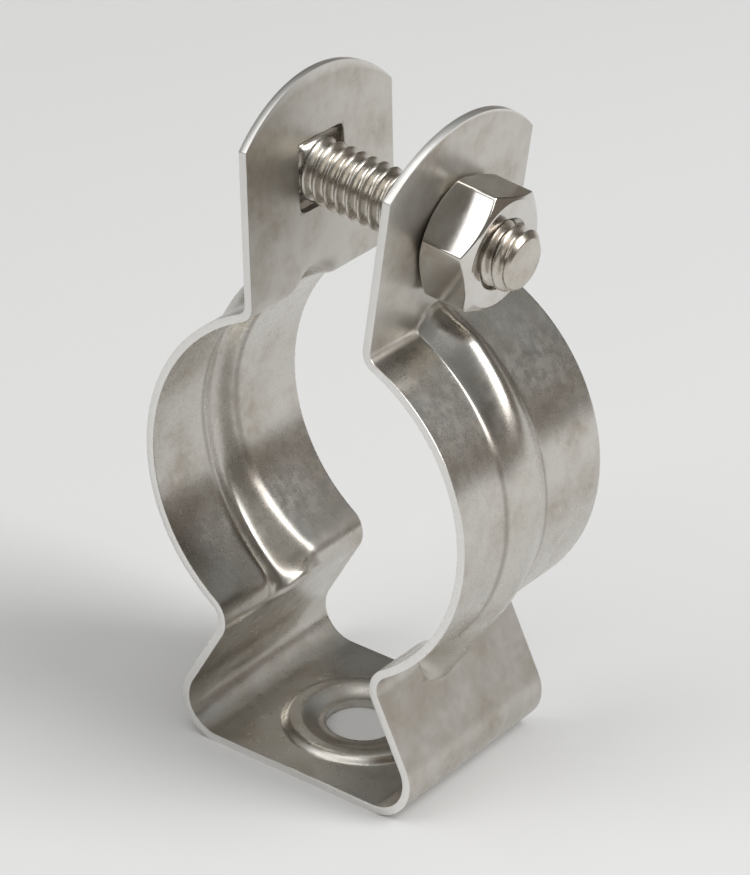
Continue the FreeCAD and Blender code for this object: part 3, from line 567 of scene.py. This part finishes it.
def steel(name, colour, stain, roughness, scratch, relief_strength, painted_light_and_burnish=False):
    """Stainless steel on Object coordinates.

    Two sizes of noise, a cloud and a fleck, mix the colour with a brownish stain and give the relief.
    The fleck and two stretched noises, the scuffs, change the roughness. On a piece given painted light
    and burnish, the attribute along the creases paints shade into the colour, the one along the sheared
    edges paints a highlight into it, and the finish is DULL rougher where the burnish attribute is 0.
    """
    material = bpy.data.materials.new(name)
    material.use_nodes = True
    nodes = material.node_tree.nodes
    links = material.node_tree.links
    shader = nodes["Principled BSDF"]
    shader.inputs["Metallic"].default_value = 1.0
    place = nodes.new("ShaderNodeTexCoord")

    def noise(scale, detail, stretch=(1.0, 1.0, 1.0)):
        """Noise of a size, stretched by a Mapping."""
        mapping = nodes.new("ShaderNodeMapping")
        mapping.inputs["Scale"].default_value = stretch
        links.new(place.outputs["Object"], mapping.inputs["Vector"])
        texture = nodes.new("ShaderNodeTexNoise")
        texture.inputs["Scale"].default_value = scale
        texture.inputs["Detail"].default_value = detail
        texture.inputs["Roughness"].default_value = NOISE_FALL
        links.new(mapping.outputs["Vector"], texture.inputs["Vector"])
        return texture.outputs["Fac"]

    def spread(value, given, low, high):
        """Maps a value's given range onto low to high, and holds it at these past the range."""
        node = nodes.new("ShaderNodeMapRange")
        node.inputs["From Min"].default_value = given[0]
        node.inputs["From Max"].default_value = given[1]
        node.inputs["To Min"].default_value = low
        node.inputs["To Max"].default_value = high
        links.new(value, node.inputs["Value"])
        return node.outputs["Result"]

    def joined(operation, first, second):
        """Adds or multiplies two values."""
        node = nodes.new("ShaderNodeMath")
        node.operation = operation
        links.new(first, node.inputs[0])
        links.new(second, node.inputs[1])
        return node.outputs["Value"]

    def attribute(name):
        """A number that the mesh carries at each point."""
        node = nodes.new("ShaderNodeAttribute")
        node.attribute_name = name
        return node.outputs["Fac"]

    cloud = noise(CLOUD, 5.0)
    fleck = noise(FLECK, 2.0)
    scuff_lines = noise(1.0, 3.0, SCUFF_LINES)
    cross_lines = noise(1.0, 2.0, CROSS_LINES)
    tint = joined(
        "MULTIPLY",
        spread(cloud, CLOUD_RANGE, 0.0, 1.0),
        spread(fleck, FLECK_RANGE, LEAST_FLECK, 1.0),
    )
    finish = nodes.new("ShaderNodeMix")
    finish.data_type = "RGBA"
    finish.inputs[6].default_value = (*colour, 1.0)
    finish.inputs[7].default_value = (*stain, 1.0)
    links.new(tint, finish.inputs[0])
    if painted_light_and_burnish:
        for part, share, shade in PAINTED_LIGHT:
            change = nodes.new("ShaderNodeMix")
            change.data_type = "RGBA"
            change.inputs[7].default_value = (*shade, 1.0)
            links.new(spread(attribute(part), PAINTED_LIGHT_RANGE, 0.0, share), change.inputs[0])
            links.new(finish.outputs[2], change.inputs[6])
            finish = change
    links.new(finish.outputs[2], shader.inputs["Base Color"])
    scuffs = joined(
        "ADD",
        spread(scuff_lines, SCUFF_RANGE, 0.0, scratch),
        spread(cross_lines, CROSS_RANGE, 0.0, scratch),
    )
    even = spread(fleck, FLECK_RANGE, roughness - ROUGHNESS_SWING, roughness + ROUGHNESS_SWING)
    rough = joined("ADD", even, scuffs)
    if painted_light_and_burnish:
        rough = joined("ADD", rough, spread(attribute("burnish"), (0.0, 1.0), DULL, 0.0))
    links.new(rough, shader.inputs["Roughness"])
    bump = nodes.new("ShaderNodeBump")
    bump.inputs["Strength"].default_value = relief_strength
    bump.inputs["Distance"].default_value = RELIEF_DEPTH
    links.new(joined("ADD", fleck, cloud), bump.inputs["Height"])
    links.new(bump.outputs["Normal"], shader.inputs["Normal"])
    return material


# The surface is the middle of the sheet, and gets its thickness and its eased edges from modifiers.
EDGE_ANGLE = math.radians(55.0)
EDGE_ROUND = 0.18
strap_faces = grid_faces(len(rows), len(columns), False)[whole]
used, numbers = np.unique(strap_faces, return_inverse=True)
strap = make_piece(
    "pressed_strap",
    surface.reshape(-1, 3)[used],
    numbers.reshape(-1, 4).tolist(),
    "strap",
    "strap",
    steel("strap_satin_steel", (0.61, 0.59, 0.55), (0.45, 0.405, 0.35), 0.27, 0.015, 0.03, painted_light_and_burnish=True),
)
for name, values in (("crease_shade", crease_shade), ("sheared_highlight", sheared_highlight), ("burnish", burnish)):
    carried = strap.data.attributes.new(name, "FLOAT", "POINT")
    carried.data.foreach_set("value", values.reshape(-1)[used].astype(np.float32))
wall = strap.modifiers.new("sheet", "SOLIDIFY")
wall.thickness = SHEET * MILLIMETRE
wall.offset = 0.0
wall.use_even_offset = True
trim = strap.modifiers.new("sheared_edges", "BEVEL")
trim.limit_method = "ANGLE"
trim.angle_limit = EDGE_ANGLE
trim.width = EDGE_ROUND * MILLIMETRE
trim.segments = 2

# The bolt is a round-headed carriage bolt of stainless steel, cold headed, with a square neck that
# the left ear's square hole holds, and a rolled thread of 20 turns to the inch along its shank.
AXIS = np.array([math.cos(BOLT_TILT), 0.0, -math.sin(BOLT_TILT)])
AXIS_UP = np.array([math.sin(BOLT_TILT), 0.0, math.cos(BOLT_TILT)])
AXIS_START = np.array([0.0, 0.0, BOLT_HEIGHT])
PITCH = 1.27
THREAD_RADIUS = 3.15
THREAD_DEPTH = 0.68
THREAD_STRAIGHT = 0.2
THREAD_ROWS = 16
HEAD_APEX = -12.40
HEAD_RIM = -9.70
HEAD_SEAT = -9.10
HEAD_RADIUS = 7.1
HEAD_INSIDE = 4.9
DOME_ROWS = 26
RIM_EASE = 0.16
EASE_LEAD = 1.8
NECK_END = -7.75
NECK_HALF = 3.25
NECK_SQUARE = 10
NECK_STEPS = np.array([0.0, 0.2, 0.5])
NECK_SWELL = np.array([0.22, 0.05, 0.0, 0.0, 0.0, -0.12])
SHANK_START = NECK_END + 0.03
SHANK_END = 16.03
END_CHAMFER = 0.7
END_STEPS = np.array([0.08, 0.2, 0.5, 1.2])
END_EASE = 0.01
ROUND_SIDES = 96


def thread(run, turn):
    """The height of a thread's side, from 0 at its root to 1 at its crest.

    It is a triangle wave of the distance along the axis less a pitch for each turn round it, mixed
    with the same wave rounded at both ends.
    """
    wave = np.abs(2.0 * np.mod(run / PITCH - turn / (2.0 * math.pi), 1.0) - 1.0)
    return THREAD_STRAIGHT * wave + (1.0 - THREAD_STRAIGHT) * (0.5 - 0.5 * np.cos(math.pi * wave))


def eased(outline, radius, steps):
    """Rounds the corners of an outline of (distance, radius) points.

    Each corner becomes a parabola that starts and ends a length of radius from it, with one more
    point beyond each end, which keeps the flat parts flat.
    """
    before = outline[:-2] - outline[1:-1]
    after = outline[2:] - outline[1:-1]
    before = before / np.maximum(np.linalg.norm(before, axis=-1, keepdims=True), TINY)
    after = after / np.maximum(np.linalg.norm(after, axis=-1, keepdims=True), TINY)
    corner = outline[1:-1]
    share = np.linspace(0.0, 1.0, steps).reshape((1, steps) + (1,) * (outline.ndim - 1))
    curve = (
        corner[:, None]
        + (1.0 - share)**2 * radius * before[:, None]
        + share**2 * radius * after[:, None]
    )
    first = (corner + EASE_LEAD * radius * before)[:, None]
    last = (corner + EASE_LEAD * radius * after)[:, None]
    rounded = np.concatenate((first, curve, last), axis=1).reshape((-1,) + outline.shape[1:])
    return np.concatenate((outline[:1], rounded, outline[-1:]))


def about_axis(run, radius, turn):
    """Points at a distance along the bolt's axis and a radius from it, at an angle from +Y."""
    side = np.array([0.0, 1.0, 0.0])
    return (
        AXIS_START
        + run[..., None] * AXIS
        + (radius * np.cos(turn))[..., None] * side
        + (radius * np.sin(turn))[..., None] * AXIS_UP
    )


# The outline from the head's top: the dome, the rim, the square neck, the threaded shank and its end.
dome_radius = (HEAD_RADIUS**2 + (HEAD_RIM - HEAD_APEX)**2) / (2.0 * (HEAD_RIM - HEAD_APEX))
dome_turn = np.linspace(0.0, math.asin(HEAD_RADIUS / dome_radius), DOME_ROWS)[1:-2]
dome = np.stack((
    HEAD_APEX + dome_radius * (1.0 - np.cos(dome_turn)),
    dome_radius * np.sin(dome_turn),
), axis=-1)
rim = eased(np.array([
    dome[-1],
    [HEAD_RIM, HEAD_RADIUS],
    [HEAD_SEAT, HEAD_RADIUS],
    [HEAD_SEAT, HEAD_INSIDE],
]), RIM_EASE, 4)
bolt_turn = np.linspace(0.0, 2.0 * math.pi, ROUND_SIDES, endpoint=False)[None, :]
square_sum = np.abs(np.cos(bolt_turn))**NECK_SQUARE + np.abs(np.sin(bolt_turn))**NECK_SQUARE
neck_radius = NECK_HALF / square_sum**(1.0 / NECK_SQUARE)
neck_run = np.concatenate((HEAD_SEAT + NECK_STEPS, NECK_END - NECK_STEPS[::-1]))
shank_run = np.arange(SHANK_START, SHANK_END - 2.0 * END_EASE, PITCH / THREAD_ROWS)
crest = THREAD_RADIUS - THREAD_DEPTH * (1.0 - thread(shank_run[:, None], bolt_turn))
chamfer = THREAD_RADIUS - END_CHAMFER + (SHANK_END - shank_run[:, None])
end_radius = THREAD_RADIUS - END_CHAMFER - END_STEPS
end_run = np.array([SHANK_END - END_EASE, SHANK_END, SHANK_END, SHANK_END])
plain_rows = np.concatenate((dome, rim[1:]))
bolt_run = np.concatenate((plain_rows[:, 0], neck_run, shank_run, end_run))[:, None] + 0.0 * bolt_turn
bolt_radius = np.concatenate((
    plain_rows[:, 1:2] + 0.0 * bolt_turn,
    neck_radius + NECK_SWELL[:, None],
    np.minimum(crest, chamfer),
    end_radius[:, None] + 0.0 * bolt_turn,
))
bolt_points = about_axis(bolt_run, bolt_radius, bolt_turn + 0.0 * bolt_run).reshape(-1, 3)
middles = about_axis(np.array([HEAD_APEX, SHANK_END]), np.zeros(2), np.zeros(2))
bolt_faces = grid_faces(len(bolt_run), ROUND_SIDES, True)[..., ::-1].reshape(-1, 4).tolist()

# The head's first row and the end's last row are closed with triangles to a point in the middle.
first_row = np.arange(ROUND_SIDES)
last_row = first_row + len(bolt_points) - ROUND_SIDES
apex = np.full(ROUND_SIDES, len(bolt_points))
bolt_faces += np.stack((np.roll(first_row, -1), first_row, apex), axis=-1).tolist()
bolt_faces += np.stack((last_row, np.roll(last_row, -1), apex + 1), axis=-1).tolist()
make_piece(
    "threaded_carriage_bolt",
    np.concatenate((bolt_points, middles)),
    bolt_faces,
    "carriage_bolt",
    "bolt",
    steel("bolt_bright_steel", (0.62, 0.59, 0.54), (0.45, 0.39, 0.32), 0.26, 0.03, 0.02),
)

# The nut is a plain hexagon nut of stainless steel, chamfered at both faces, and tapped to run on
# the bolt. It is turned and polished brighter than the strap.
NUT_START = 8.07
NUT_END = 13.63
NUT_HALF_FLATS = 5.55
NUT_FACE = 5.2
NUT_BEVEL = math.tan(math.radians(30.0))
NUT_TURN = math.radians(45.5)
NUT_SIDE = math.radians(60.0)
NUT_MOUTH = 3.55
NUT_SINK = 0.55
NUT_PLAY = 0.07
NUT_EASE = 0.09
NUT_CORNER = np.radians([0.0, 0.6, 1.2, 2.0, 3.0, 4.5, 7.0, 11.0, 17.0, 24.0])
CORNER_SHARPNESS = 70.0
BORE_LIP = THREAD_RADIUS + 0.02
BORE_LEAD = 0.05
BORE_ROWS = 14

# The hexagon's radius at each angle is its half-width over the softened largest cosine to a flat.
one_side = np.concatenate((NUT_CORNER, NUT_SIDE - NUT_CORNER[:0:-1]))
corner_turn = NUT_TURN + np.arange(6)[:, None] * NUT_SIDE
nut_turn = (corner_turn + one_side).reshape(-1)
nearness = np.clip(np.cos(nut_turn - corner_turn - NUT_SIDE / 2.0), 0.0, None)
hexagon = NUT_HALF_FLATS / (nearness**CORNER_SHARPNESS).sum(axis=0)**(1.0 / CORNER_SHARPNESS)
bevel = (hexagon - NUT_FACE) * NUT_BEVEL
level = np.ones(len(nut_turn))
outline = np.stack((
    np.stack((level * (NUT_START + NUT_SINK), level * BORE_LIP), axis=-1),
    np.stack((level * NUT_START, level * NUT_MOUTH), axis=-1),
    np.stack((level * NUT_START, level * NUT_FACE), axis=-1),
    np.stack((NUT_START + bevel, hexagon), axis=-1),
    np.stack((NUT_END - bevel, hexagon), axis=-1),
    np.stack((level * NUT_END, level * NUT_FACE), axis=-1),
    np.stack((level * NUT_END, level * NUT_MOUTH), axis=-1),
    np.stack((level * (NUT_END - NUT_SINK), level * BORE_LIP), axis=-1),
))
outer = eased(outline, NUT_EASE, 3)
bore_run = np.arange(NUT_END - NUT_SINK - BORE_LEAD, NUT_START + NUT_SINK, -PITCH / BORE_ROWS)
bore_run = bore_run[:, None] + 0.0 * nut_turn
bore_radius = THREAD_RADIUS - THREAD_DEPTH * (1.0 - thread(bore_run, nut_turn)) + NUT_PLAY
nut_run = np.concatenate((outer[..., 0], bore_run))
nut_radius = np.concatenate((outer[..., 1], bore_radius))
nut_points = about_axis(nut_run, nut_radius, nut_turn + 0.0 * nut_run)

# The bore's last row joins the first row of the outside, which closes the shell.
rows_of_nut, sides_of_nut = nut_run.shape
nut_faces = grid_faces(rows_of_nut, sides_of_nut, True).reshape(-1, 4)
first_row = np.arange(sides_of_nut)
last_row = first_row + (rows_of_nut - 1) * sides_of_nut
closing = np.stack((last_row, first_row, np.roll(first_row, -1), np.roll(last_row, -1)), axis=-1)
make_piece(
    "tapped_hexagon_nut",
    nut_points.reshape(-1, 3),
    np.concatenate((nut_faces, closing))[:, ::-1].tolist(),
    "hex_nut",
    "nut",
    steel("nut_bright_steel", (0.70, 0.68, 0.65), (0.56, 0.52, 0.47), 0.12, 0.03, 0.05),
)
